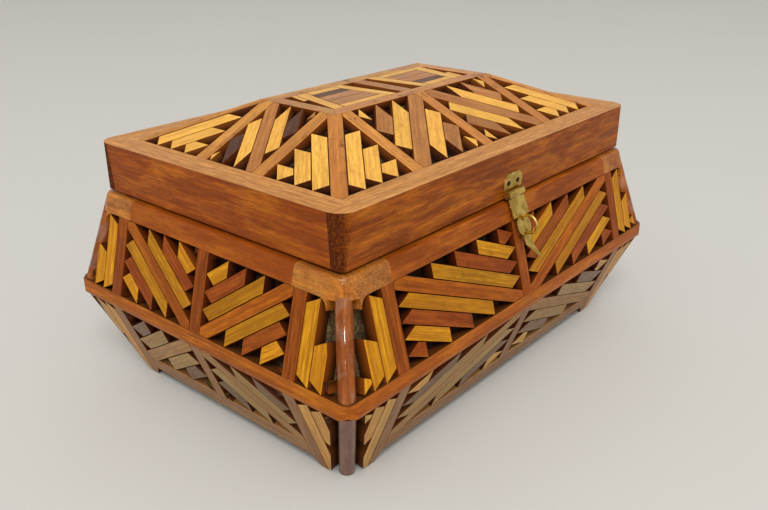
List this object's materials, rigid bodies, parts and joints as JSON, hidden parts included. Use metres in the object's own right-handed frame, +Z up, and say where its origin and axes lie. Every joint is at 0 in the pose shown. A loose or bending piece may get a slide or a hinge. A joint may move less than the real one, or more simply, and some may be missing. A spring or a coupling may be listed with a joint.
{
  "type": "lidded keepsake box",
  "caption": "Lidded wooden keepsake box with two sloping tiers, a hipped lid and a mosaic of sawn strips; the lid swings on back hinges and a brass hasp hangs on the front.",
  "frame": {"origin": "on the floor, under the middle of the box", "axes": "+Z up, +X along the length to the right, the front with the hasp faces -Y"},
  "size_m": [0.3408, 0.2509, 0.186],
  "materials": {
    "gold_wood": "varnished",
    "olive_wood": "varnished",
    "orange_wood": "varnished",
    "brown_wood": "varnished",
    "plum_wood": "varnished",
    "mahogany": "varnished",
    "post_wood": "varnished",
    "board_wood": "varnished",
    "brass": "aged"
  },
  "bodies": {
    "base": {"bottom_board": "board_wood", "lower_panel_front": "board_wood", "lower_panel_right": "board_wood", "lower_panel_back": "board_wood", "lower_panel_left": "board_wood", "upper_panel_front": "board_wood", "upper_panel_right": "board_wood", "upper_panel_back": "board_wood", "upper_panel_left": "board_wood", "belt_rail_front": "orange_wood", "belt_rail_right": "orange_wood", "belt_rail_back": "orange_wood", "belt_rail_left": "orange_wood", "rim_rail_front": "mahogany", "rim_rail_right": "mahogany", "rim_rail_back": "mahogany", "rim_rail_left": "mahogany", "rim_corner_blocks": "orange_wood", "bottom_rails": "post_wood", "upper_corner_posts": "mahogany", "lower_corner_posts": "post_wood", "upper_posts": "post_wood", "lower_posts": "post_wood", "foot_posts": "post_wood", "upper_strips_orange": "orange_wood", "upper_strips_olive": "olive_wood", "upper_strips_brown": "brown_wood", "upper_strips_gold": "gold_wood", "lower_strips_tan": "orange_wood", "lower_strips_olive": "olive_wood", "lower_strips_plum": "plum_wood", "lower_strips_gold": "gold_wood", "upper_corner_strips": "gold_wood", "lower_corner_strips": "gold_wood", "hinge_box_leaves": "brass", "hinge_pins": "brass", "hinge_box_screws": "brass", "hasp_stud": "brass"},
    "lid": {"lid_rail_front": "mahogany", "lid_rail_right": "mahogany", "lid_rail_back": "mahogany", "lid_rail_left": "mahogany", "lid_panel_front": "board_wood", "lid_panel_right": "board_wood", "lid_panel_back": "board_wood", "lid_panel_left": "board_wood", "lid_panel_top": "board_wood", "hip_rails": "brown_wood", "slope_rails": "brown_wood", "top_frame": "brown_wood", "lid_strips_brown": "brown_wood", "lid_strips_gold": "gold_wood", "lid_strips_plum": "plum_wood", "lid_corner_strips": "gold_wood", "hinge_lid_leaves": "brass", "hinge_lid_screws": "brass", "hasp_plate": "brass", "hasp_pin": "brass"},
    "hasp": {"hasp_leaf": "brass", "hasp_ring": "brass"}
  },
  "joints": [
    {"name": "lid_hinge", "type": "hinge", "parent": "base", "child": "lid", "pos_m": [0, 0.1092, 0.1299], "axis": [-1, 0, 0], "range_deg": [0, 105]},
    {"name": "hasp_hinge", "type": "hinge", "parent": "lid", "child": "hasp", "pos_m": [0.0025, -0.1059, 0.1333], "axis": [-1, 0, 0], "range_deg": [0, 120]}
  ]
}
